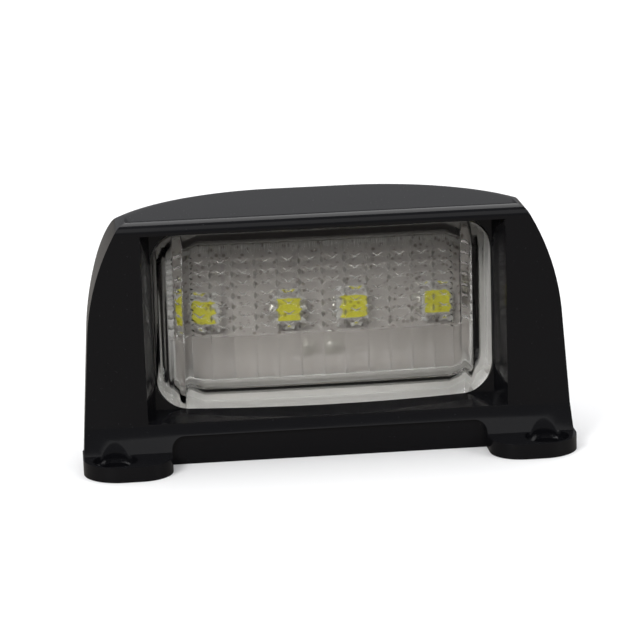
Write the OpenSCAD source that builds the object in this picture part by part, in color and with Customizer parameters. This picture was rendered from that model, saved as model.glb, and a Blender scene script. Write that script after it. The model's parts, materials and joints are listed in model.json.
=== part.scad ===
// Number plate lamp: a moulded hood with two screw ears round a sealed lens and light board.
// The lens looks along -Y, +X is to its right and the hood stands on its mounting face at z = 0.
// Sizes are in millimetres. The origin is the middle of the footprint, on the mounting face.

/* [Hood] */
// Width of the hood across its base
hood_w = 78; // [75:0.2:82]
// Height of the hood over the mounting face
hood_h = 39; // [38.6:0.1:42]
// Wall thickness of the hood
hood_wall = 2.2; // [1.6:0.1:2.4]
// Lean of the hood's sides, in degrees
side_draft = 4.3; // [2:0.1:5]
// Height at which the sides begin to curve in
haunch_z = 22; // [18:0.5:26]
// Radius of the curved upper sides
haunch_r = 38; // [34:0.5:44]
// Angle at which that curve turns in from the straight sides, in degrees
haunch_turn = 1; // [0.5:0.1:1.5]
// Radius of the edge between each side and the top
top_corner_r = 2.8; // [1.5:0.1:4]
// Radius of the edge between the front face and the top
top_front_r = 1.8; // [0.6:0.1:2]
// Radius of the edge between the rear wall and the top
top_rear_r = 8; // [3:0.5:8]
// How far the axes of the large rear corners lie in front of the front face
corner_lead = 4; // [1:0.1:4]
// How far the large rear corners would stand out beyond the sides at the mounting face
corner_out = 0.5; // [0.4:0.1:0.6]
// Thickness of the stiffening ribs under the roof
rib_t = 1.6; // [1:0.1:2]
// Distance of each stiffening rib from the middle
rib_x = 20; // [12:0.5:22]

/* [Foot and ears] */
// Height of the crease at which the foot begins
crease_z = 6.6; // [5.4:0.1:6.7]
// How far the foot leans forward of the front face
foot_flare = 1.4; // [0.8:0.1:1.8]
// Thickness of the screw ears
ear_t = 2.4; // [1.8:0.1:3]
// How far the ears reach in front of the front face
ear_reach = 8.4; // [8:0.1:11]
// Width of each ear
ear_w = 14; // [12:0.2:15]
// How far the ears stand out beyond the hood's base on each side
ear_over = 0; // [0:0.1:1.2]
// Length over which each ear's outer edge runs back into the hood's side
ear_run_out = 5; // [3:0.5:8]
// Radius of each ear's outer front corner
ear_outer_r = 6; // [3:0.2:6.6]
// Radius of each ear's inner front corner
ear_inner_r = 5; // [2:0.2:5.4]
// Height of the relief between the ears
relief_h = 4.7; // [3:0.1:5]
// Depth of the relief between the ears
relief_depth = 1.2; // [0.6:0.1:1.4]
// Radius of the relief's upper corners
relief_r = 2; // [0.8:0.1:2.4]

/* [Mounting screws] */
// Distance of each screw hole from its ear's outer side
screw_in = 5; // [4.5:0.1:6]
// Distance of the screw holes in front of the front face
screw_y = 4.2; // [4:0.1:4.4]
// Diameter of the screw holes
screw_d = 4.2; // [3.2:0.1:4.6]
// Diameter of the recess for the screw head
screw_head_d = 7; // [6:0.1:7.6]
// Depth of the recess for the screw head
screw_head_depth = 0.9; // [0.4:0.1:1.2]

/* [Lens] */
// Distance of the lens from the hood's side, at the mounting face
lens_side = 12.2; // [11.9:0.1:13]
// Distance of the lens's upper edge below the top of the hood
lens_top = 2.8; // [2.7:0.1:4]
// Corner radius of the lens
lens_r = 5; // [4.6:0.1:7]
// Height of the lens's lower edge over the mounting face
lens_z = 8; // [7.9:0.1:8.6]
// How far the lens's edge is set back behind the hood's front face
lens_setback = 4.5; // [4:0.1:5]
// Height of the lens's convex crown
lens_crown = 3; // [0.8:0.1:3.4]
// Depth of the lens's rim behind its front edge
lens_rim_depth = 4.9; // [4.5:0.1:5.4]
// Thickness of the lens at its edge, in front of the optics
lens_t = 2.4; // [1.8:0.1:2.6]
// Clearance round the lens and the lamp base in the hood's window
window_gap = 0.25; // [0.1:0.05:0.4]
// Width of the slanted wall on each side of the window
window_bevel = 1.5; // [0.8:0.1:2]
// Height of the slanted wall above the window
window_bevel_top = 0.35; // [0.1:0.05:0.4]
// Height of the slanted sill below the window
window_bevel_sill = 1.1; // [0.4:0.1:1.1]
// Thickness of the sleeve behind the window
sleeve_t = 1.6; // [1.2:0.1:1.8]

/* [Lens optics] */
// Pitch of the upright flutes
flute_pitch = 3.5; // [3:0.1:4]
// Depth of the flutes
flute_depth = 0.8; // [0.5:0.05:0.9]
// Height of the valleys between the flutes over the lens's inner face
flute_web = 0.15; // [0.1:0.05:0.3]
// Number of flutes
flute_count = 12; // [8:2:12]
// Height of the flutes' lower ends over the lens's lower edge
flute_z = 3.9; // [3.5:0.1:5]
// Height over the lens's lower edge at which the cross grooves begin
groove_z = 10.4; // [9:0.1:14]
// Distance of the cross grooves' ends from the lens's tongue
groove_end = 0.3; // [0.2:0.1:0.8]
// Pitch of the cross grooves
groove_pitch = 1.75; // [1.5:0.05:2.5]

/* [Lens joint] */
// Distance of the lens's tongue from the lens's outline
tongue_inset = 1.1; // [1:0.1:1.2]
// Thickness of the lens's tongue
tongue_t = 1.3; // [1.1:0.1:1.4]
// Length of the lens's tongue
tongue_l = 2.2; // [1.6:0.1:2.4]
// Clearance on each side of the tongue in its groove
tongue_gap = 0.1; // [0.05:0.05:0.15]
// Height of the sealing bead under the tongue
seal_t = 0.6; // [0.3:0.1:0.8]
// Gap between the lens's rim and the lamp base
rim_gap = 0.2; // [0.1:0.05:0.3]

/* [Lamp base] */
// Depth of the lamp base's flange
flange_depth = 3.8; // [3.6:0.1:4.4]
// Distance of the lamp base's walls from the lens's outline, behind the flange
base_inset = 1.9; // [1.8:0.05:2]
// Distance of the board's pocket from the lens's outline
pocket_inset = 3.6; // [3.55:0.05:3.8]
// Width of the ledge that the board rests on
ledge_w = 0.9; // [0.7:0.1:1.2]
// Distance of the board's ledge behind the flange
ledge_step = 0.6; // [0.2:0.1:1]
// Depth of the space behind the board
back_depth = 3.2; // [3:0.1:3.4]
// Thickness of the lamp base's floor
floor_t = 1.4; // [1:0.1:1.6]
// Depth of the hood's lip that the lamp base is held behind
lip_t = 1.6; // [1.2:0.1:1.8]
// How far the hood's lip stands in from the lens's outline
lip_w = 1.4; // [1:0.05:1.5]
// How far each snap hook stands in from the lens's outline
hook_inset = 0.5; // [0.4:0.05:0.8]
// Length of each snap hook
hook_l = 8; // [5:0.5:10]
// Depth of each snap hook along its ramp
hook_depth = 2.4; // [1.5:0.1:2.6]
// Distance of the upper and lower snap hooks from the middle
hook_x = 14; // [10:0.5:16]

/* [Cable entry] */
// Width of the cable chamber
chamber_w = 13.6; // [12:0.2:16]
// Height of the cable chamber
chamber_h = 11.8; // [10:0.2:14]
// Wall thickness of the cable chamber
chamber_t = 1.5; // [1.2:0.1:1.6]
// Gap between the cable chamber and the hood's rear wall
chamber_gap = 0.4; // [0.2:0.1:0.8]
// Gap between the gland and the end of the sleeve in front of it, which sets the hood's depth
gland_room = 2.35; // [1.75:0.05:8.75]
// Diameter of the gland's bore for the cable
cable_d = 4.4; // [3.6:0.1:4.6]
// Diameter of the gland's neck
gland_neck_d = 6.2; // [5.8:0.1:6.4]
// Clearance round the gland's neck
gland_gap = 0.05; // [0.02:0.01:0.1]
// Diameter of the gland's inner collar
gland_collar_d = 7.4; // [7:0.1:7.4]
// Thickness of the gland's inner collar
gland_collar_t = 1; // [0.8:0.1:1.4]
// Diameter of the gland's outer flange
gland_flange_d = 8.8; // [8:0.1:9]
// Thickness of the gland's outer flange
gland_flange_t = 1.2; // [0.8:0.1:1.4]
// How far the gland's tail starts in from its outer flange
gland_inset = 0.5; // [0.3:0.1:0.8]
// Diameter of the gland's tip
gland_tip_d = 6.2; // [5.8:0.1:6.4]
// Height of the gland's tip over the mounting face
gland_tip_z = 2.6; // [2:0.1:3]

/* [Light board] */
// Thickness of the circuit board
board_t = 1.6; // [1.2:0.1:1.8]
// Clearance round the circuit board in its pocket
board_gap = 0.3; // [0.2:0.05:0.35]
// Distance of the inner pair of lights from the middle, as a share of the lens's width
led_inner_share = 0.092; // [0.08:0.001:0.12]
// Distance of the outer pair of lights from the lens's ends
led_end = 8.5; // [7:0.1:9]
// Side of a light's package
led_side = 5; // [4:0.1:5.4]
// Thickness of a light's package
led_t = 1.6; // [1:0.1:1.8]
// Side of the yellow phosphor window
phosphor_side = 4; // [3:0.1:4.2]
// Corner radius of the phosphor window
phosphor_r = 0.9; // [0.5:0.1:1.2]
// Depth of the phosphor window in its package
phosphor_depth = 0.5; // [0.3:0.1:0.7]
// How far the phosphor stands proud of its package
phosphor_proud = 0.12; // [0.05:0.01:0.2]

/* [Board parts] */
// Length of a resistor
resistor_l = 6.3; // [5:0.1:6.5]
// Width of a resistor
resistor_w = 3.2; // [2:0.1:3.4]
// Height of a resistor
resistor_t = 0.6; // [0.4:0.05:0.8]
// Distance of the resistors from the middle, as a share of the lens's width
resistor_share = 0.3; // [0.28:0.005:0.32]
// Length of the regulator
regulator_l = 4.5; // [4:0.1:5]
// Width of the regulator
regulator_w = 2.5; // [2.2:0.1:3]
// Height of the regulator
regulator_t = 1.5; // [1.2:0.1:1.8]
// Length of the diode that guards against a reversed supply
diode_l = 4.4; // [4:0.1:5]
// Width of that diode
diode_w = 3.6; // [3:0.1:4]
// Height of that diode
diode_t = 2.2; // [1.8:0.1:2.4]
// Length of the smoothing capacitor
capacitor_l = 3.2; // [2:0.1:3.6]
// Width of the smoothing capacitor
capacitor_w = 1.6; // [1.2:0.1:2]
// Height of the smoothing capacitor
capacitor_t = 1.5; // [1:0.1:1.8]
// Sideways distance of these small parts from the middle, as a share of the lens's width
driver_share = 0.15; // [0.14:0.005:0.17]
// Distance of all of them above and below the board's centre line, as a share of the lens's height
parts_z_share = 0.17; // [0.15:0.01:0.19]
// Distance of each supply terminal from the middle
terminal_x = 1.9; // [1.5:0.1:2.4]
// Height of the supply terminals over the board's lower edge
terminal_z = 3.6; // [3.2:0.1:4.4]
// Outer diameter of a supply terminal
terminal_d = 2.2; // [1.8:0.1:2.4]
// Diameter of a supply terminal's wire hole
terminal_hole_d = 1.2; // [0.8:0.1:1.3]
// Height of a supply terminal behind the board
terminal_t = 1.2; // [0.8:0.1:1.6]
// Gap between the potting and the supply terminals
well_gap = 0.7; // [0.4:0.1:1]

/* [Hidden] */

$fn = 96;
over = 1; // how far a cut runs past the face that it cuts
smallest_r = 0.3; // radius that an inner corner keeps

// Front to back, from the ears' front edge to the rear wall
sleeve_depth = lens_setback + lens_rim_depth + rim_gap + flange_depth + lip_t;
gland_depth = gland_flange_d / 2 + gland_gap + gland_collar_d / 2;
hood_depth = sleeve_depth + gland_room + gland_depth + chamber_t + chamber_gap + hood_wall;
depth = hood_depth + ear_reach;
front_y = ear_reach - depth / 2;
rear_y = depth / 2;
corner_y = front_y - corner_lead;
lens_y = front_y + lens_setback;
crown_y = lens_y - lens_crown;
optics_y = lens_y + lens_t;
rim_end_y = lens_y + lens_rim_depth;
tongue_end_y = rim_end_y + tongue_l;
flange_y = rim_end_y + rim_gap;
groove_end_y = tongue_end_y + seal_t;
lip_y = flange_y + flange_depth;
lip_end_y = lip_y + lip_t;
board_back_y = lip_y + ledge_step;
board_y = board_back_y - board_t;
floor_y = board_back_y + back_depth;
base_end_y = floor_y + floor_t;
chamber_end_y = rear_y - hood_wall - chamber_gap;

// Heights
lens_h = hood_h - lens_top - lens_z;
lens_mid_z = lens_z + lens_h / 2;
lens_top_z = lens_z + lens_h;
base_low_z = lens_z + base_inset;
cavity_inset = pocket_inset + ledge_w;
board_low_z = lens_z + pocket_inset + board_gap;
terminal_mid_z = board_low_z + terminal_z;
chamber_floor_z = base_low_z + chamber_t;
parts_z = lens_h * parts_z_share;

// Sideways
lens_w = hood_w - 2 * lens_side;
ear_out_x = hood_w / 2 + ear_over;
ear_in_x = ear_out_x - ear_w;
relief_w = 2 * ear_in_x;
screw_x = ear_out_x - screw_in;
led_inner_x = lens_w * led_inner_share;
led_outer_x = lens_w / 2 - led_end;
led_x = [-led_outer_x, -led_inner_x, led_inner_x, led_outer_x];
driver_x = lens_w * driver_share;
resistor_at = [[-1, 1], [1, 1], [-1, -1], [1, -1]];
gland_y = chamber_end_y - chamber_t - gland_collar_d / 2 - gland_gap;

// The lens's front is part of a cylinder that stands upright
crown_r = (pow(lens_w / 2, 2) + pow(lens_crown, 2)) / (2 * lens_crown);

// Centre of the arc on the hood's right side, which the straight side runs into
haunch = [hood_w / 2 - haunch_z * tan(side_draft), haunch_z]
    - haunch_r * [cos(side_draft + haunch_turn), sin(side_draft + haunch_turn)];

// Extrudes an outline drawn in x and z from one y to another
module along_y(from, to) {
    translate([0, to, 0]) rotate([90, 0, 0]) linear_extrude(to - from) children();
}

// Extrudes an outline drawn in y and z from one x to another
module along_x(from, to) {
    translate([from, 0, 0]) rotate([90, 0, 90]) linear_extrude(to - from) children();
}

module both_sides() {
    children();
    mirror([1, 0, 0]) children();
}

// A rectangle about its centre with round corners
module rounded(w, h, r) {
    square([w - 2 * r, h], center = true);
    square([w, h - 2 * r], center = true);
    for (x = [-1, 1], z = [-1, 1])
        translate([x * (w / 2 - r), z * (h / 2 - r)]) circle(r);
}

// The lens's outline, drawn in by an inset
module lens_outline(inset) {
    translate([0, lens_mid_z])
        rounded(lens_w - 2 * inset, lens_h - 2 * inset, max(lens_r - inset, smallest_r));
}

// The hood from the front: leaning sides that curve in to a flat top
module hood_face(inset, bottom) {
    top = hood_h - inset;
    r = haunch_r - inset;
    bend_angle = side_draft + acos((haunch_r * cos(haunch_turn) - inset) / r);
    corner = max(top_corner_r - inset, smallest_r);
    side = hood_w / 2 - inset / cos(side_draft) - bottom * tan(side_draft);
    bend = haunch + r * [cos(bend_angle), sin(bend_angle)];
    corner_z = top - corner;
    corner_x = haunch[0] + sqrt(pow(r - corner, 2) - pow(corner_z - haunch[1], 2));
    meet_z = haunch[1] + r * (corner_z - haunch[1]) / (r - corner);
    both_sides() {
        polygon([[-over, bottom], [side, bottom], bend, [-over, bend[1]]]);
        intersection() {
            translate(haunch) circle(r, $fn = 240);
            translate([-over, bend[1]]) square([hood_w, meet_z - bend[1]]);
        }
        translate([-over, bend[1]]) square([corner_x + over, top - bend[1]]);
        translate([corner_x, corner_z]) circle(corner);
    }
}

// The hood's front from the side: an upright face with a small round edge above it
module hood_front(inset, front_inset, bottom) {
    y0 = front_y + front_inset;
    top = hood_h - inset;
    r = max(top_front_r - front_inset, smallest_r);
    translate([y0, bottom]) square([hood_depth + over, top - r - bottom]);
    translate([y0 + r, bottom]) square([hood_depth + over - r, top - bottom]);
    translate([y0 + r, top - r]) circle(r);
}

// The hood's rear wall in section, from the axis of the large corners outwards
module rear_section(inset, bottom) {
    reach = rear_y - corner_y - inset;
    top = hood_h - inset;
    r = top_rear_r - inset;
    translate([0, bottom]) square([reach, top - r - bottom]);
    translate([0, bottom]) square([reach - r, top - bottom]);
    translate([reach - r, top - r]) circle(r);
}

// The straight rear between two large corners, with one round edge along all three
module hood_rear(inset, bottom) {
    x = hood_w / 2 + corner_out - (rear_y - corner_y);
    along_x(-x, x) translate([corner_y, 0]) rear_section(inset, bottom);
    both_sides() translate([x, corner_y, 0]) rotate_extrude(angle = 90) rear_section(inset, bottom);
}

// The hood's solid form, drawn in by an inset
module hood_form(inset = 0, front_inset = 0, bottom = 0) {
    intersection() {
        along_y(front_y + front_inset, rear_y + over) hood_face(inset, bottom);
        along_x(-hood_w, hood_w) hood_front(inset, front_inset, bottom);
        hood_rear(inset, bottom);
    }
}

// The foot's front leans out below the crease, between the hood's own sides
module foot() {
    inner_y = front_y + hood_wall;
    intersection() {
        along_x(-hood_w / 2, hood_w / 2)
            polygon([[inner_y, 0], [front_y - foot_flare, 0], [front_y - foot_flare, ear_t],
                [front_y, crease_z], [inner_y, crease_z]]);
        along_y(front_y - foot_flare, inner_y) hood_face(0, 0);
    }
}

// One ear seen from above, with a large outer corner
module ear_plan() {
    tip_y = front_y - ear_reach;
    back_y = front_y + hood_wall;
    hood_x = hood_w / 2 - hood_wall / 2;
    translate([ear_in_x, tip_y + ear_inner_r]) square([ear_inner_r, back_y - tip_y - ear_inner_r]);
    translate([ear_in_x + ear_inner_r, tip_y])
        square([ear_w - ear_inner_r - ear_outer_r, back_y - tip_y]);
    translate([ear_out_x - ear_outer_r, tip_y + ear_outer_r])
        square([ear_outer_r, back_y - tip_y - ear_outer_r]);
    // the ear's outer edge runs back into the hood's side
    polygon([[ear_out_x, back_y - over], [ear_out_x, back_y], [hood_x, back_y + ear_run_out],
        [hood_x, back_y - over]]);
    translate([ear_in_x + ear_inner_r, tip_y + ear_inner_r]) circle(ear_inner_r);
    translate([ear_out_x - ear_outer_r, tip_y + ear_outer_r]) circle(ear_outer_r);
}

// The screw hole, with a recess that also clears the head in the foot's face
module screw_cut() {
    translate([screw_x, front_y - screw_y, 0]) {
        translate([0, 0, -over]) cylinder(h = ear_t + 2 * over, d = screw_d);
        translate([0, 0, ear_t - screw_head_depth]) cylinder(h = crease_z - ear_t, d = screw_head_d);
    }
}

// The long shallow pocket in the foot between the ears
module relief_cut() {
    pocket_y = front_y - foot_flare + relief_depth;
    along_y(front_y - foot_flare - over, pocket_y) {
        translate([-relief_w / 2, -over]) square([relief_w, relief_h - relief_r + over]);
        translate([relief_r - relief_w / 2, -over])
            square([relief_w - 2 * relief_r, relief_h + over]);
        both_sides() translate([relief_w / 2 - relief_r, relief_h - relief_r]) circle(relief_r);
    }
}

// The mitred well in front of the lens
module window_well() {
    x0 = lens_w / 2 + window_gap;
    x1 = x0 + window_bevel;
    low = lens_z - window_gap;
    high = lens_top_z + window_gap;
    sill_z = low - window_bevel_sill;
    lintel_z = high + window_bevel_top;
    mouth_y = front_y - foot_flare - over;
    intersection() {
        linear_extrude(hood_h)
            polygon([[-x1, mouth_y], [x1, mouth_y], [x1, front_y], [x0, lens_y], [-x0, lens_y],
                [-x1, front_y]]);
        along_x(-hood_w / 2, hood_w / 2)
            polygon([[mouth_y, sill_z], [front_y, sill_z], [lens_y, low], [lens_y, high],
                [front_y, lintel_z], [mouth_y, lintel_z]]);
    }
}

// The sleeve behind the window: square round the well, then round-cornered behind the lens's edge
module sleeve() {
    along_y(front_y + hood_wall / 2, lip_end_y) lens_outline(-window_gap - sleeve_t);
    along_y(front_y + hood_wall / 2, lens_y + sleeve_t) translate([0, lens_mid_z])
        square([lens_w, lens_h] + 2 * (window_gap + sleeve_t) * [1, 1], center = true);
}

// One rib under the roof, clear of the lamp base
module roof_rib() {
    wall_y = rear_y - hood_wall / 2;
    roof_z = hood_h - hood_wall / 2;
    edge_z = lens_top_z - base_inset / 4;
    along_x(rib_x - rib_t / 2, rib_x + rib_t / 2)
        polygon([[lip_y, roof_z], [lip_y, edge_z + lip_w], [lip_end_y, edge_z], [base_end_y, edge_z],
            [wall_y, lens_mid_z], [wall_y, roof_z]]);
}

module bracket() {
    color([0.06, 0.06, 0.065])
    difference() {
        union() {
            difference() {
                hood_form();
                hood_form(hood_wall, hood_wall, -over);
            }
            foot();
            both_sides() linear_extrude(ear_t) ear_plan();
            intersection() {
                sleeve();
                hood_form();
            }
            both_sides() intersection() {
                roof_rib();
                hood_form(hood_wall / 2);
            }
        }
        window_well();
        along_y(lens_y - over, lip_y) lens_outline(-window_gap);
        along_y(lip_y - over, lip_end_y + over) lens_outline(lip_w);
        relief_cut();
        both_sides() screw_cut();
    }
}

// Upright flutes over the middle of the lens, and a flat pad of the same height at each end
module optics_pads() {
    low = lens_z + flute_z;
    high = lens_top_z - tongue_inset - tongue_t / 2;
    bulge = flute_depth - flute_web;
    r = (pow(flute_pitch / 2, 2) + pow(bulge, 2)) / (2 * bulge);
    end_x = flute_count * flute_pitch / 2;
    pad_w = lens_w / 2 - tongue_inset - tongue_t / 2 - end_x;
    front = lens_t / 2;
    intersection() {
        for (i = [0 : flute_count - 1])
            translate([(i - (flute_count - 1) / 2) * flute_pitch, optics_y + flute_depth - r, low])
                cylinder(h = high - low, r = r);
        translate([-end_x, optics_y - front, low]) cube([2 * end_x, front + 2 * flute_depth, high - low]);
    }
    both_sides() translate([end_x - flute_web, optics_y - front, low])
        cube([pad_w + flute_web, front + flute_depth * 0.9, high - low]);
}

// Level V grooves that cut the flutes and the end pads into small prisms
module cross_grooves() {
    top_z = lens_top_z - tongue_inset - tongue_t;
    count = floor((top_z - lens_z - groove_z) / groove_pitch);
    end_x = lens_w / 2 - tongue_inset - tongue_t - groove_end;
    for (i = [0 : count - 1])
        translate([0, 0, lens_z + groove_z + (i + 0.5) * groove_pitch])
            along_x(-end_x, end_x)
                polygon([[optics_y + flute_web / 2, 0], [optics_y + 2 * flute_depth, groove_pitch],
                    [optics_y + 2 * flute_depth, -groove_pitch]]);
}

module lens() {
    color([0.86, 0.88, 0.9, 0.5])
    union() {
        difference() {
            intersection() {
                along_y(crown_y - over, rim_end_y) lens_outline(0);
                translate([0, crown_y + crown_r, 0]) cylinder(h = hood_h, r = crown_r, $fn = 720);
            }
            along_y(optics_y, rim_end_y + over) lens_outline(tongue_inset + tongue_t);
        }
        difference() {
            along_y(rim_end_y - over, tongue_end_y) lens_outline(tongue_inset);
            along_y(rim_end_y - 2 * over, tongue_end_y + over) lens_outline(tongue_inset + tongue_t);
        }
        difference() {
            optics_pads();
            cross_grooves();
        }
    }
}

// A bead of sealant that fills the bottom of the groove under the lens's tongue
module lens_seal() {
    color([0.12, 0.12, 0.13])
    difference() {
        along_y(tongue_end_y, groove_end_y) lens_outline(tongue_inset);
        along_y(tongue_end_y - over, groove_end_y + over) lens_outline(tongue_inset + tongue_t);
    }
}

// A ramped hook on the right wall of the lamp base, in x and y
module hook_ramp(wall, tip) {
    root = wall - hook_inset;
    from_y = lip_end_y + rim_gap / 2;
    polygon([[root, from_y], [tip, from_y], [wall, from_y + hook_depth], [root, from_y + hook_depth]]);
}

// Hooks that click behind the hood's lip: one at each end, two above and two below
module snap_hooks() {
    both_sides() translate([0, 0, lens_mid_z - hook_l / 2]) linear_extrude(hook_l)
        hook_ramp(lens_w / 2 - base_inset, lens_w / 2 - hook_inset);
    for (x = [-hook_x, hook_x], side = [-1, 1])
        translate([x - side * hook_l / 2, 0, lens_mid_z]) rotate([0, -90 * side, 0]) mirror([0, 0, 1])
            linear_extrude(hook_l) hook_ramp(lens_h / 2 - base_inset, lens_h / 2 - hook_inset);
}

// The chamber behind the floor that the cable comes up into
module chamber(inset, from) {
    translate([inset - chamber_w / 2, from, base_low_z + inset])
        cube([chamber_w - 2 * inset, chamber_end_y - inset - from, chamber_h - 2 * inset]);
}

module lamp_base() {
    color([0.86, 0.86, 0.84])
    difference() {
        union() {
            along_y(flange_y, lip_y) lens_outline(0);
            along_y(lip_y - over, base_end_y) lens_outline(base_inset);
            snap_hooks();
            chamber(0, floor_y);
        }
        difference() {
            along_y(flange_y - over, groove_end_y) lens_outline(tongue_inset - tongue_gap);
            along_y(flange_y - 2 * over, groove_end_y + over)
                lens_outline(tongue_inset + tongue_t + tongue_gap);
        }
        along_y(flange_y - over, board_back_y) lens_outline(pocket_inset);
        along_y(board_back_y - over, floor_y) lens_outline(cavity_inset);
        chamber(chamber_t, floor_y - over);
        translate([0, gland_y, base_low_z - over])
            cylinder(h = chamber_t + 2 * over, r = gland_neck_d / 2 + gland_gap);
    }
}

module wire_holes(d) {
    for (x = [-terminal_x, terminal_x])
        translate([x, 0, terminal_mid_z]) rotate([-90, 0, 0])
            translate([0, 0, board_y - over]) cylinder(h = board_t + terminal_t + 2 * over, d = d);
}

module circuit_board() {
    color([0.93, 0.93, 0.9])
    difference() {
        along_y(board_y, board_back_y) lens_outline(pocket_inset + board_gap);
        wire_holes(terminal_hole_d);
    }
}

module led_window(x, from, to) {
    along_y(from, to) translate([x, lens_mid_z]) rounded(phosphor_side, phosphor_side, phosphor_r);
}

module led_body(x) {
    face_y = board_y - led_t;
    color([0.95, 0.95, 0.92])
    difference() {
        translate([x - led_side / 2, face_y, lens_mid_z - led_side / 2])
            cube([led_side, led_t, led_side]);
        led_window(x, face_y - over, face_y + phosphor_depth);
    }
}

module led_phosphor(x) {
    face_y = board_y - led_t;
    color([0.93, 0.78, 0.15]) led_window(x, face_y - phosphor_proud, face_y + phosphor_depth);
}

// A block that lies on the back of the board, long side along x
module on_board(x, z, l, w, t) {
    translate([x - l / 2, board_back_y, z - w / 2]) cube([l, t, w]);
}

module resistor(i) {
    at = resistor_at[i];
    color([0.15, 0.2, 0.18])
        on_board(at[0] * lens_w * resistor_share, lens_mid_z + at[1] * parts_z,
            resistor_l, resistor_w, resistor_t);
}

module regulator() {
    color([0.13, 0.13, 0.14])
        on_board(driver_x, lens_mid_z + parts_z, regulator_l, regulator_w, regulator_t);
}

module reverse_diode() {
    color([0.16, 0.16, 0.17])
        on_board(-driver_x, lens_mid_z + parts_z, diode_l, diode_w, diode_t);
}

module capacitor() {
    color([0.62, 0.5, 0.36])
        on_board(driver_x, lens_mid_z - parts_z, capacitor_l, capacitor_w, capacitor_t);
}

module supply_terminal(x) {
    color([0.75, 0.72, 0.66])
    difference() {
        translate([x, board_back_y, terminal_mid_z]) rotate([-90, 0, 0])
            cylinder(h = terminal_t, d = terminal_d);
        wire_holes(terminal_hole_d);
    }
}

// Resin that fills the space behind the board, with a well where the two wires come in
module potting() {
    well_x = terminal_x + terminal_d / 2 + well_gap;
    well_top = terminal_mid_z + terminal_d / 2 + well_gap;
    color([0.1, 0.1, 0.11])
    difference() {
        along_y(board_back_y, floor_y) lens_outline(cavity_inset);
        translate([-well_x, board_back_y - over, lens_z])
            cube([2 * well_x, back_depth + 2 * over, well_top - lens_z]);
        for (i = [0 : len(resistor_at) - 1]) resistor(i);
        regulator();
        reverse_diode();
        capacitor();
    }
}

// A rubber gland that clips into the chamber's floor, with its tail towards the mounting face
module cable_gland() {
    flange_z = base_low_z - gland_flange_t;
    color([0.09, 0.09, 0.1])
    translate([0, gland_y, 0])
    difference() {
        union() {
            translate([0, 0, chamber_floor_z]) cylinder(h = gland_collar_t, d = gland_collar_d);
            translate([0, 0, flange_z]) cylinder(h = chamber_floor_z - flange_z + gland_gap, d = gland_neck_d);
            translate([0, 0, flange_z]) cylinder(h = gland_flange_t, d = gland_flange_d);
            translate([0, 0, gland_tip_z])
                cylinder(h = flange_z - gland_tip_z, d1 = gland_tip_d, d2 = gland_flange_d - 2 * gland_inset);
        }
        translate([0, 0, gland_tip_z - over])
            cylinder(h = chamber_floor_z + gland_collar_t - gland_tip_z + 2 * over, d = cable_d);
    }
}

bracket();
lamp_base();
lens_seal();
circuit_board();
led_body(led_x[0]);  // led_body_1
led_body(led_x[1]);  // led_body_2
led_body(led_x[2]);  // led_body_3
led_body(led_x[3]);  // led_body_4
led_phosphor(led_x[0]);  // led_phosphor_1
led_phosphor(led_x[1]);  // led_phosphor_2
led_phosphor(led_x[2]);  // led_phosphor_3
led_phosphor(led_x[3]);  // led_phosphor_4
resistor(0);  // resistor_1
resistor(1);  // resistor_2
resistor(2);  // resistor_3
resistor(3);  // resistor_4
regulator();
reverse_diode();
capacitor();
supply_terminal(-terminal_x);  // supply_terminal_1
supply_terminal(terminal_x);  // supply_terminal_2
potting();
cable_gland();
lens();
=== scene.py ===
import json
import math

import bpy
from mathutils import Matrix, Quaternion, Vector


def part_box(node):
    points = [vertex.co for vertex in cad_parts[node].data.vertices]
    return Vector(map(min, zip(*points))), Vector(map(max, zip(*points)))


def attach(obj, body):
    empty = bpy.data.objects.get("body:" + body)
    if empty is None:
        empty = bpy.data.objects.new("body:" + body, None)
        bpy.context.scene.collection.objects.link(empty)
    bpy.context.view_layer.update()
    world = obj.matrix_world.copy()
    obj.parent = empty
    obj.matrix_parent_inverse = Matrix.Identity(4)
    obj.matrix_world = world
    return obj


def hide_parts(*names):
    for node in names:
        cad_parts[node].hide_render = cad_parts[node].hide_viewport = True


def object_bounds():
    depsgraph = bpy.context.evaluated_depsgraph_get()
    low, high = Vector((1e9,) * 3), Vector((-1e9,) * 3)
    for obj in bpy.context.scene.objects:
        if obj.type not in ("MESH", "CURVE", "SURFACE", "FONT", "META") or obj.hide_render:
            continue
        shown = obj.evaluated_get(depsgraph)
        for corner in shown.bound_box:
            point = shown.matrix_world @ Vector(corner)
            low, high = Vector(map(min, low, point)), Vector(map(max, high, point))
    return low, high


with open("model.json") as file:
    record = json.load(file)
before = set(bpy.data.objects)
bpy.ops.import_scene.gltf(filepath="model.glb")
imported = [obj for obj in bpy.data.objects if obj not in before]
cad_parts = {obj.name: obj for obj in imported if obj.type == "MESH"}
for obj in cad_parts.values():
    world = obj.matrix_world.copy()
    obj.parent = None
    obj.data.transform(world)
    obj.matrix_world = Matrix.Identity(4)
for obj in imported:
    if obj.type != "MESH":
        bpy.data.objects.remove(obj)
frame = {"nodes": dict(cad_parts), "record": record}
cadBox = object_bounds()
nodes = frame["nodes"]
mm = 0.001
onPlane = 0.001 * mm  # how near a cut a point has to be to lie on it
normalWeight = 90
lights = (1, 2, 3, 4)
terminals = (1, 2)


def corners(node):
    low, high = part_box(node)
    return Vector(low), Vector(high)


def mid(node):
    low, high = corners(node)
    return (low + high) / 2


def alone(obj):  # select this object and nothing else
    if bpy.context.object and bpy.context.object.mode != "OBJECT":
        bpy.ops.object.mode_set(mode="OBJECT")
    bpy.ops.object.select_all(action="DESELECT")
    obj.select_set(True)
    bpy.context.view_layer.objects.active = obj


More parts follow.
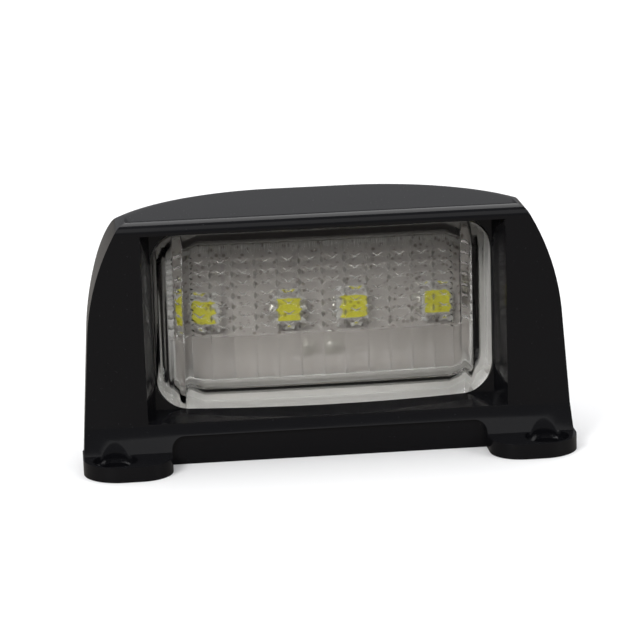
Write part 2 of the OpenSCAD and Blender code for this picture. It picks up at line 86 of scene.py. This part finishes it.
def editOnly(obj, kind, wanted=None):  # into edit mode, with only the wanted points or faces selected
    alone(obj)
    bpy.ops.object.mode_set(mode="EDIT")
    bpy.ops.mesh.select_mode(type=kind)
    bpy.ops.mesh.select_all(action="DESELECT")
    if wanted:
        bpy.ops.object.mode_set(mode="OBJECT")
        for part in obj.data.vertices if kind == "VERT" else obj.data.polygons:
            part.select = wanted(part)
        bpy.ops.object.mode_set(mode="EDIT")


def addModifier(obj, kind, settings):
    alone(obj)
    modifier = obj.modifiers.new(kind.title(), kind)
    for key, value in settings.items():
        setattr(modifier, key, value)
    bpy.ops.object.modifier_apply(modifier=modifier.name)


def finishPiece(obj, name, replaced=()):
    alone(obj)
    bpy.ops.object.transform_apply(location=True, rotation=True, scale=True)
    obj.name = name
    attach(obj, "root")
    if replaced:
        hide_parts(*replaced)


def copyNode(node, weld):  # a merged copy of a CAD node, whose own mesh stays as it is
    copy = nodes[node].copy()
    copy.data = nodes[node].data.copy()
    copy.parent = None
    copy.matrix_world = nodes[node].matrix_world.copy()
    bpy.context.collection.objects.link(copy)
    alone(copy)
    bpy.ops.object.transform_apply(location=True, rotation=True, scale=True)
    bpy.ops.object.mode_set(mode="EDIT")
    bpy.ops.mesh.select_all(action="SELECT")
    bpy.ops.mesh.remove_doubles(threshold=weld["distance"])
    bpy.ops.mesh.dissolve_limited(angle_limit=math.radians(weld["flat"]))
    bpy.ops.object.mode_set(mode="OBJECT")
    copy.data.materials.clear()
    return copy


def smoothShade(obj, angle):
    alone(obj)
    bpy.ops.object.shade_smooth_by_angle(angle=math.radians(angle))


def softenEdges(obj, edges, leaveSharp=None):  # real edges get a small radius, flat faces stay flat
    editOnly(obj, "EDGE")
    bpy.ops.mesh.edges_select_sharp(sharpness=math.radians(edges["angle"]))
    bpy.ops.object.mode_set(mode="OBJECT")
    mesh = obj.data
    weights = mesh.attributes.new("bevel_weight_edge", "FLOAT", "EDGE")
    for edge in mesh.edges:
        a, b = (mesh.vertices[i].co for i in edge.vertices)
        kept = leaveSharp and leaveSharp((a + b) / 2)
        weights.data[edge.index].value = 1.0 if edge.select and not kept else 0.0
    addModifier(obj, "BEVEL", {
        "width": edges["radius"], "segments": edges["segments"], "limit_method": "WEIGHT",
        "use_clamp_overlap": True, "miter_outer": "MITER_ARC"})
    smoothShade(obj, edges["smooth"])
    addModifier(obj, "WEIGHTED_NORMAL", {"keep_sharp": True, "weight": normalWeight})


class Wire:
    def __init__(self, finish, socket):
        self.finish = finish
        self.socket = socket

    def maths(self, operation, a, b):
        return self.finish.add("ShaderNodeMath", {"operation": operation}, {0: a, 1: b})

    def __add__(self, other):
        return self.maths("ADD", self, other)

    def __radd__(self, other):
        return self.maths("ADD", other, self)

    def __sub__(self, other):
        return self.maths("SUBTRACT", self, other)

    def __rsub__(self, other):
        return self.maths("SUBTRACT", other, self)

    def __mul__(self, other):
        return self.maths("MULTIPLY", self, other)

    def __rmul__(self, other):
        return self.maths("MULTIPLY", other, self)


class Finish:
    def __init__(self, name):
        self.material = bpy.data.materials.new(name)
        self.material.use_nodes = True
        self.tree = self.material.node_tree
        self.shader = self.tree.nodes["Principled BSDF"]
        self.place = self.add("ShaderNodeTexCoord", {}, {}, "Object")

    def plug(self, node, key, value):
        if isinstance(value, Wire):
            self.tree.links.new(value.socket, node.inputs[key])
        else:
            node.inputs[key].default_value = value

    def add(self, kind, settings, inputs, output=0):
        node = self.tree.nodes.new(kind)
        for key, value in settings.items():
            setattr(node, key, value)
        for key, value in inputs.items():
            self.plug(node, key, value)
        return Wire(self, node.outputs[output])

    def set(self, values):
        for key, value in values.items():
            self.plug(self.shader, key, value)

    def axis(self, letter):
        return self.add("ShaderNodeSeparateXYZ", {}, {0: self.place}, letter)

    def noise(self, scale, detail):
        return self.add("ShaderNodeTexNoise", {}, {"Vector": self.place, "Scale": scale, "Detail": detail})

    def ramp(self, value, dark, light):
        return self.add("ShaderNodeMapRange", {}, {"Value": value, "From Min": dark, "From Max": light})

    def blend(self, factor, a, b):  # sockets 6 and 7 and output 2 are a Mix node's colours
        return self.add("ShaderNodeMix", {"data_type": "RGBA"}, {"Factor": factor, 6: a, 7: b}, 2)

    def bump(self, height, strength, distance):
        return self.add("ShaderNodeBump", {}, {
            "Height": height, "Strength": strength, "Distance": distance}, "Normal")

    def grain(self, look):  # a fine bump, as on moulded plastic
        return self.bump(self.noise(*look["grain"]), look["grainStrength"], look["grainDepth"])

    def passShadows(self, tint):  # glass that lets light through to what lies behind it
        through = self.add("ShaderNodeBsdfTransparent", {}, {"Color": tint})
        shadowRay = self.add("ShaderNodeLightPath", {}, {}, "Is Shadow Ray")
        both = self.add("ShaderNodeMixShader", {}, {
            0: shadowRay, 1: Wire(self, self.shader.outputs[0]), 2: through})
        self.plug(self.tree.nodes["Material Output"], "Surface", both)

    def wear(self, *objects):
        for obj in objects:
            if not obj.material_slots:
                obj.data.materials.append(self.material)
            for slot in obj.material_slots:
                slot.material = self.material


# A noise is given as its scale and its detail
hoodGloss = {"colour": (0.0045, 0.0045, 0.0055, 1), "dust": (0.03, 0.03, 0.034, 1), "roughness": 0.10,
             "specular": 0.34, "patch": (70, 4), "patchFrom": 0.4, "patchTo": 0.7, "patchHaze": 0.08,
             "speck": (2600, 2), "speckFrom": 0.7, "speckTo": 0.78, "speckShare": 0.35, "speckHaze": 0.2,
             "grain": (900, 2), "grainStrength": 0.12, "grainDepth": 0.03 * mm}


def makeHoodGloss():
    f = Finish("hoodGloss")
    patches = f.ramp(f.noise(*hoodGloss["patch"]), hoodGloss["patchFrom"], hoodGloss["patchTo"])
    specks = f.ramp(f.noise(*hoodGloss["speck"]), hoodGloss["speckFrom"], hoodGloss["speckTo"])
    f.set({"Base Color": f.blend(specks * hoodGloss["speckShare"], hoodGloss["colour"], hoodGloss["dust"]),
           "Roughness": (hoodGloss["roughness"] + patches * hoodGloss["patchHaze"]
                         + specks * hoodGloss["speckHaze"]),
           "Specular IOR Level": hoodGloss["specular"], "Normal": f.grain(hoodGloss)})
    return f


lensGlass = {"tint": (0.96, 0.965, 0.96, 1), "roughness": 0.03, "ior": 1.49, "shadow": (0.88, 0.88, 0.87, 1),
             "film": (160, 5), "filmFrom": 0.45, "filmTo": 0.75, "filmHaze": 0.03,
             "haze": 0.12, "bandHaze": 0.32, "bandTint": (0.86, 0.855, 0.845, 1), "prismIor": 1.3,
             "reflectionDotScale": 920, "reflectionDotSpread": 0.75, "reflectionDotDark": 0.16, "reflectionDotClear": 0.38,
             "paintedReflectionTint": (0.30, 0.26, 0.245, 1),
             "frost": 0.45, "frostTint": (0.67, 0.66, 0.64, 1), "frostClear": 0.32}


def makeLensGlass(name, roughness):
    f = Finish(name)
    film = f.ramp(f.noise(*lensGlass["film"]), lensGlass["filmFrom"], lensGlass["filmTo"])
    f.set({"Base Color": lensGlass["tint"], "Roughness": roughness + film * lensGlass["filmHaze"],
           "IOR": lensGlass["ior"], "Transmission Weight": 1.0})
    f.passShadows(lensGlass["shadow"])
    return f


def makeLensPrisms(fromZ, toZ):  # prisms above, with painted dark points that stand for the facets' reflections, and a hazier fluted band below
    f = makeLensGlass("lensPrisms", lensGlass["haze"])
    zone = f.ramp(f.axis("Z"), fromZ, toZ)
    points = f.add("ShaderNodeTexVoronoi", {"feature": "F1"}, {
        "Vector": f.place, "Scale": lensGlass["reflectionDotScale"],
        "Randomness": lensGlass["reflectionDotSpread"]}, "Distance")
    clear = f.ramp(points, lensGlass["reflectionDotDark"], lensGlass["reflectionDotClear"])
    # painted reflection: the dark points tint the glass where the prism facets would mirror dark
    # surroundings
    paintedPrismReflections = f.blend(clear, lensGlass["paintedReflectionTint"], lensGlass["tint"])
    f.set({"Base Color": f.blend(zone, lensGlass["bandTint"], paintedPrismReflections), "IOR": lensGlass["prismIor"],
           "Roughness": lensGlass["haze"] + (1 - zone) * lensGlass["bandHaze"]})
    return f


def makeLensFrost():  # the matt edge of the moulding, where it is bonded to the lamp base
    f = makeLensGlass("lensFrost", lensGlass["frost"])
    f.set({"Base Color": lensGlass["frostTint"], "Transmission Weight": lensGlass["frostClear"]})
    return f


mottling = {"detail": 4, "from": 0.35, "to": 0.7}


def makeMottle(f, scale):
    return f.ramp(f.noise(scale, mottling["detail"]), mottling["from"], mottling["to"])


trayPlastic = {"colour": (0.46, 0.45, 0.43, 1), "shade": (0.38, 0.37, 0.355, 1), "roughness": 0.38,
               "mottle": 90, "wear": (400, 3), "wearHaze": 0.12,
               "grain": (1800, 2), "grainStrength": 0.15, "grainDepth": 0.03 * mm}


def makeTrayPlastic():
    f = Finish("trayPlastic")
    mottle = makeMottle(f, trayPlastic["mottle"])
    worn = f.noise(*trayPlastic["wear"])
    f.set({"Base Color": f.blend(mottle, trayPlastic["colour"], trayPlastic["shade"]),
           "Roughness": trayPlastic["roughness"] + worn * trayPlastic["wearHaze"],
           "Normal": f.grain(trayPlastic)})
    return f


boardMask = {"colour": (0.38, 0.355, 0.335, 1), "track": (0.29, 0.27, 0.255, 1), "roughness": 0.28,
             "trackShare": 0.8, "trackShift": 0.35, "trackGap": 0.3 * mm, "trackLength": 11 * mm,
             "trackPitch": 6.5 * mm, "trackStrength": 0.3, "trackDepth": 0.03 * mm,
             "wear": (300, 3), "wearHaze": 0.1}


def makeBoardMask():
    f = Finish("boardMask")
    tracks = f.add("ShaderNodeTexBrick", {"offset": boardMask["trackShift"]}, {
        "Vector": f.place, "Scale": 1, "Mortar Size": boardMask["trackGap"],
        "Brick Width": boardMask["trackLength"], "Row Height": boardMask["trackPitch"]}, "Fac")
    raised = f.bump(tracks, boardMask["trackStrength"], boardMask["trackDepth"])
    f.set({"Base Color": f.blend(tracks * boardMask["trackShare"], boardMask["colour"], boardMask["track"]),
           "Roughness": boardMask["roughness"] + f.noise(*boardMask["wear"]) * boardMask["wearHaze"],
           "Normal": raised})
    return f


phosphorGel = {"colour": (0.52, 0.50, 0.035, 1), "deep": (0.42, 0.38, 0.02, 1), "paintedGlow": 0.10,
               "roughness": 0.18, "crystals": 2200, "crystalHaze": 0.1}


def makePhosphorGel():
    f = Finish("phosphorGel")
    crystals = makeMottle(f, phosphorGel["crystals"])
    # painted glow: the unlit phosphor gel is given a faint emission in its own colour
    f.set({"Base Color": f.blend(crystals, phosphorGel["colour"], phosphorGel["deep"]),
           "Roughness": phosphorGel["roughness"] + crystals * phosphorGel["crystalHaze"],
           "Emission Color": phosphorGel["colour"], "Emission Strength": phosphorGel["paintedGlow"]})
    return f


plain = {"mottleHaze": 0.12, "finer": 6, "grainDetail": 2, "grainStrength": 0.15, "grainDepth": 0.02 * mm}


def makePlain(name, colour, shade, roughness, scale, metallic=0.0):
    f = Finish(name)
    mottle = makeMottle(f, scale)
    f.set({"Base Color": f.blend(mottle, colour, shade), "Metallic": metallic,
           "Roughness": roughness + mottle * plain["mottleHaze"],
           "Normal": f.grain({**plain, "grain": (scale * plain["finer"], plain["grainDetail"])})})
    return f


gloss = makeHoodGloss()
tray = makeTrayPlastic()
mask = makeBoardMask()
gel = makePhosphorGel()
package = makePlain("ledPackage", (0.50, 0.49, 0.47, 1), (0.42, 0.41, 0.40, 1), 0.3, 900)
ceramic = makePlain("resistorCeramic", (0.03, 0.035, 0.035, 1), (0.02, 0.02, 0.02, 1), 0.35, 1200)
chip = makePlain("chipResin", (0.025, 0.025, 0.027, 1), (0.015, 0.015, 0.016, 1), 0.45, 1500)
tan = makePlain("capacitorCeramic", (0.42, 0.28, 0.16, 1), (0.34, 0.22, 0.12, 1), 0.3, 1500)
tin = makePlain("terminalTin", (0.70, 0.68, 0.62, 1), (0.58, 0.56, 0.52, 1), 0.25, 1200, 1.0)
resin = makePlain("pottingResin", (0.02, 0.02, 0.022, 1), (0.03, 0.03, 0.032, 1), 0.3, 200)
sealant = makePlain("sealantBead", (0.05, 0.05, 0.055, 1), (0.03, 0.03, 0.033, 1), 0.5, 700)
rubber = makePlain("glandRubber", (0.022, 0.022, 0.024, 1), (0.034, 0.034, 0.036, 1), 0.55, 350)
print("finishes made")

hood = {"distance": 2e-6, "flat": 0.3, "radius": 0.35 * mm, "segments": 3, "angle": 28, "smooth": 26,
        "notchRadius": 3.7 * mm, "notchFrom": 2.6 * mm,
        "tipX": 37.9 * mm, "tipY": -3.4 * mm, "tipBack": 0.955 * mm, "tipNear": 0.02 * mm}
screws = next(mount for mount in frame["record"]["mounts"] if mount["name"] == "mounting_screws")
screwX = screws["dims"]["spacing_x_mm"] / 2 * mm
screwY = screws["pos_m"][1]


def inScrewNotch(point):  # where the screw's recess runs into the leaning foot
    reach = math.hypot(abs(point.x) - screwX, point.y - screwY)
    return reach < hood["notchRadius"] and point.z > hood["notchFrom"]


def isEarTip(vertex):
    return (abs(abs(vertex.co.x) - hood["tipX"]) < hood["tipNear"]
            and abs(vertex.co.y - hood["tipY"]) < hood["tipNear"])


hoodMoulding = copyNode("bracket", hood)
editOnly(hoodMoulding, "VERT", isEarTip)  # each ear's tip is drawn back to where it meets the side
bpy.ops.transform.translate(value=(0, -hood["tipBack"], 0))
bpy.ops.mesh.remove_doubles(threshold=hood["tipNear"] / 2, use_unselected=True)
softenEdges(hoodMoulding, hood, inScrewNotch)
finishPiece(hoodMoulding, "hoodMoulding", ["bracket"])
gloss.wear(hoodMoulding)
print("hood made", len(hoodMoulding.data.polygons))

lens = {"distance": 2e-6, "flat": 0.05, "smooth": 30, "side": 0.35, "optics": 6.5 * mm, "margin": 23.0 * mm,
        "opticsFrom": 5.3 * mm, "plainBand": 0.37, "bandEdge": 0.6 * mm,
        "cell": 1.75 * mm, "cells": 27, "point": 0.15 * mm, "prismSlot": 1, "frostSlot": 2}
lensLow, lensHigh = corners("lens")
bandZ = lensLow.z + (lensHigh.z - lensLow.z) * lens["plainBand"]


def isPrism(face):  # the faces between the cross grooves, on the inner side above the fluted band
    deep = face.center.y - lensLow.y
    inner = face.normal.y > lens["side"] and lens["opticsFrom"] < deep < lens["optics"]
    return inner and face.center.z > bandZ


def isFrosted(face):  # the side walls, the rim's back and the strip beside the optics
    edge = abs(face.normal.y) < lens["side"] or face.center.y > lensLow.y + lens["optics"]
    return edge or (face.normal.y > 0 and abs(face.center.x) > lens["margin"])


lensCover = copyNode("lens", lens)
for i in range(lens["cells"]):  # each prism is halved, then every face is raised to a point
    editOnly(lensCover, "FACE", isPrism)
    x = (i - (lens["cells"] - 1) / 2) * lens["cell"]
    bpy.ops.mesh.bisect(plane_co=(x, 0, 0), plane_no=(1, 0, 0), threshold=onPlane)
editOnly(lensCover, "FACE", isPrism)
bpy.ops.mesh.poke(offset=lens["point"], use_relative_offset=False, center_mode="MEDIAN_WEIGHTED")
smoothShade(lensCover, lens["smooth"])
finishPiece(lensCover, "lensCover", ["lens"])
lensFinishes = [makeLensGlass("lensClear", lensGlass["roughness"]),
                makeLensPrisms(bandZ, bandZ + lens["bandEdge"]), makeLensFrost()]
for finish in lensFinishes:
    lensCover.data.materials.append(finish.material)
for face in lensCover.data.polygons:
    if isFrosted(face):
        face.material_index = lens["frostSlot"]
    elif face.normal.y > 0:
        face.material_index = lens["prismSlot"]
print("lens made", len(lensCover.data.polygons))

base = {"distance": 2e-6, "flat": 0.3, "radius": 0.15 * mm, "segments": 2, "angle": 28, "smooth": 26}
lampTray = copyNode("lamp_base", base)
softenEdges(lampTray, base)
finishPiece(lampTray, "lampTray", ["lamp_base"])
tray.wear(lampTray)
print("lamp base made")

light = {"distance": 2e-6, "flat": 0.3, "radius": 0.18 * mm, "segments": 2, "angle": 40, "smooth": 40}
for i in lights:
    ledPackage = copyNode(f"led_body_{i}", light)
    softenEdges(ledPackage, light)
    finishPiece(ledPackage, f"ledPackage_{i}", [f"led_body_{i}"])
    package.wear(ledPackage)
    gel.wear(nodes[f"led_phosphor_{i}"])
print("lights made")

solder = {"rings": 10, "segments": 24, "padHalf": (0.55 * mm, 0.35 * mm, 1.5 * mm), "padOut": 0.1 * mm,
          "jointHalf": (0.95 * mm, 0.55 * mm, 0.95 * mm), "smooth": 50, "sink": 0.02 * mm}
boardFront = corners("circuit_board")[0].y


def makeDome(half):  # half of a flattened ball, its flat side just under the board's front
    bpy.ops.object.select_all(action="DESELECT")
    bpy.ops.mesh.primitive_uv_sphere_add(segments=solder["segments"], ring_count=solder["rings"], radius=1,
                                         location=(0, boardFront, 0), scale=half)
    dome = bpy.context.object
    bpy.ops.object.transform_apply(location=True, rotation=True, scale=True)
    bpy.ops.object.mode_set(mode="EDIT")
    bpy.ops.mesh.select_all(action="SELECT")
    bpy.ops.mesh.bisect(plane_co=(0, boardFront + solder["sink"], 0), plane_no=(0, 1, 0), use_fill=True,
                        clear_outer=True, threshold=onPlane)
    smoothShade(dome, solder["smooth"])
    return dome


def placeDome(dome, name, x, z):
    copy = dome.copy()
    copy.data = dome.data.copy()
    copy.location = (x, 0, z)
    bpy.context.collection.objects.link(copy)
    finishPiece(copy, name)
    tin.wear(copy)


padDome = makeDome(solder["padHalf"])
jointDome = makeDome(solder["jointHalf"])
for i in lights:
    low, high = corners(f"led_body_{i}")
    placeDome(padDome, f"padSolderLeft_{i}", low.x - solder["padOut"], (low.z + high.z) / 2)
    placeDome(padDome, f"padSolderRight_{i}", high.x + solder["padOut"], (low.z + high.z) / 2)
for i in terminals:
    eyelet = mid(f"supply_terminal_{i}")
    placeDome(jointDome, f"wireSolder_{i}", eyelet.x, eyelet.z)
for dome in (padDome, jointDome):
    bpy.data.objects.remove(dome)
print("solder made")

mask.wear(nodes["circuit_board"])
sealant.wear(nodes["lens_seal"])
resin.wear(nodes["potting"])
rubber.wear(nodes["cable_gland"])
chip.wear(nodes["regulator"], nodes["reverse_diode"])
tan.wear(nodes["capacitor"])
ceramic.wear(*(nodes[f"resistor_{i}"] for i in lights))  # one resistor to each light
tin.wear(*(nodes[f"supply_terminal_{i}"] for i in terminals))
print("board parts finished")

studio = {"floor": 3.0, "floorSeen": (0.90, 0.90, 0.90, 1), "floorMirrored": (0.16, 0.15, 0.14, 1),
          "floorRoughness": 0.6, "floorSpecular": 0.1, "fadeFrom": 0.35, "fadeTo": 0.9,
          "world": (0.92, 0.93, 0.96, 1), "worldStrength": 0.44, "worldMirrored": 0.2,
          "black": (0, 0, 0, 1), "white": (1, 1, 1, 1)}
lampLights = [
    {"name": "overheadSoftbox", "at": (0.0, 0.20, 0.62), "size": 0.7, "power": 4.0},
    {"name": "keySoftbox", "at": (-0.42, -0.50, 0.46), "size": 0.30, "power": 3.2},
    {"name": "fillSoftbox", "at": (0.52, -0.34, 0.30), "size": 0.24, "power": 1.2},
    {"name": "frontSoftbox", "at": (0.0, -0.62, 0.46), "size": 0.5, "power": 0.45},
    {"name": "backSoftbox", "at": (0.0, 0.85, 0.26), "size": 0.8, "power": 0.04},
]
view = {"azimuth": -5.3, "elevation": 14.0, "roll": -1.78, "distance": 0.45, "fill": 0.76}

bpy.ops.object.select_all(action="DESELECT")
bpy.ops.mesh.primitive_plane_add(size=studio["floor"], location=(0, 0, 0))
floor = bpy.context.object
floor.name = "studioFloor"
paper = Finish("floorPaper")
seen = paper.add("ShaderNodeLightPath", {}, {}, "Is Camera Ray")
reach = paper.add("ShaderNodeVectorMath", {"operation": "LENGTH"}, {0: paper.place}, "Value")
faded = paper.ramp(reach, studio["fadeFrom"], studio["fadeTo"]) * seen  # the floor runs out into white
paper.set({"Base Color": paper.blend(seen, studio["floorMirrored"], studio["floorSeen"]),
           "Emission Color": paper.blend(faded, studio["black"], studio["white"]), "Emission Strength": 1.0,
           "Roughness": studio["floorRoughness"], "Specular IOR Level": studio["floorSpecular"]})
paper.wear(floor)

centre = (Vector(cadBox[0]) + Vector(cadBox[1])) / 2
for lamp in lampLights:
    bpy.ops.object.light_add(type="AREA", location=lamp["at"])
    area = bpy.context.object
    area.name = lamp["name"]
    area.data.size = lamp["size"]
    area.data.energy = lamp["power"]
    area.rotation_euler = (centre - Vector(lamp["at"])).to_track_quat("-Z", "Y").to_euler()

world = bpy.data.worlds.new("studioWorld")
bpy.context.scene.world = world
world.use_nodes = True
skyNodes, skyLinks = world.node_tree.nodes, world.node_tree.links
sky = skyNodes["Background"]
sky.inputs["Color"].default_value = studio["world"]
sky.inputs["Strength"].default_value = studio["worldStrength"]
skyRays = skyNodes.new("ShaderNodeLightPath")
skyLook = sky.outputs[0]
for ray, colour, strength in (("Is Glossy Ray", studio["world"], studio["worldMirrored"]),
                              ("Is Camera Ray", studio["white"], 1.0)):  # darker in gloss, else white
    skySeen = skyNodes.new("ShaderNodeBackground")
    skySeen.inputs["Color"].default_value = colour
    skySeen.inputs["Strength"].default_value = strength
    skyMix = skyNodes.new("ShaderNodeMixShader")
    skyLinks.new(skyRays.outputs[ray], skyMix.inputs[0])
    skyLinks.new(skyLook, skyMix.inputs[1])
    skyLinks.new(skySeen.outputs[0], skyMix.inputs[2])
    skyLook = skyMix.outputs[0]
skyLinks.new(skyLook, skyNodes["World Output"].inputs["Surface"])

azimuth, elevation = math.radians(view["azimuth"]), math.radians(view["elevation"])
away = Vector((math.sin(azimuth) * math.cos(elevation), -math.cos(azimuth) * math.cos(elevation),
               math.sin(elevation)))
bpy.ops.object.camera_add(location=centre + away * view["distance"])
camera = bpy.context.object
aim = (-away).to_track_quat("-Z", "Y")
camera.rotation_euler = (aim @ Quaternion((0, 0, 1), math.radians(view["roll"]))).to_euler()
lampWidth = cadBox[1][0] - cadBox[0][0]
camera.data.lens = camera.data.sensor_width * view["fill"] * view["distance"] / lampWidth
bpy.context.scene.camera = camera
bpy.context.scene.view_settings.view_transform = "Standard"
print("studio set")
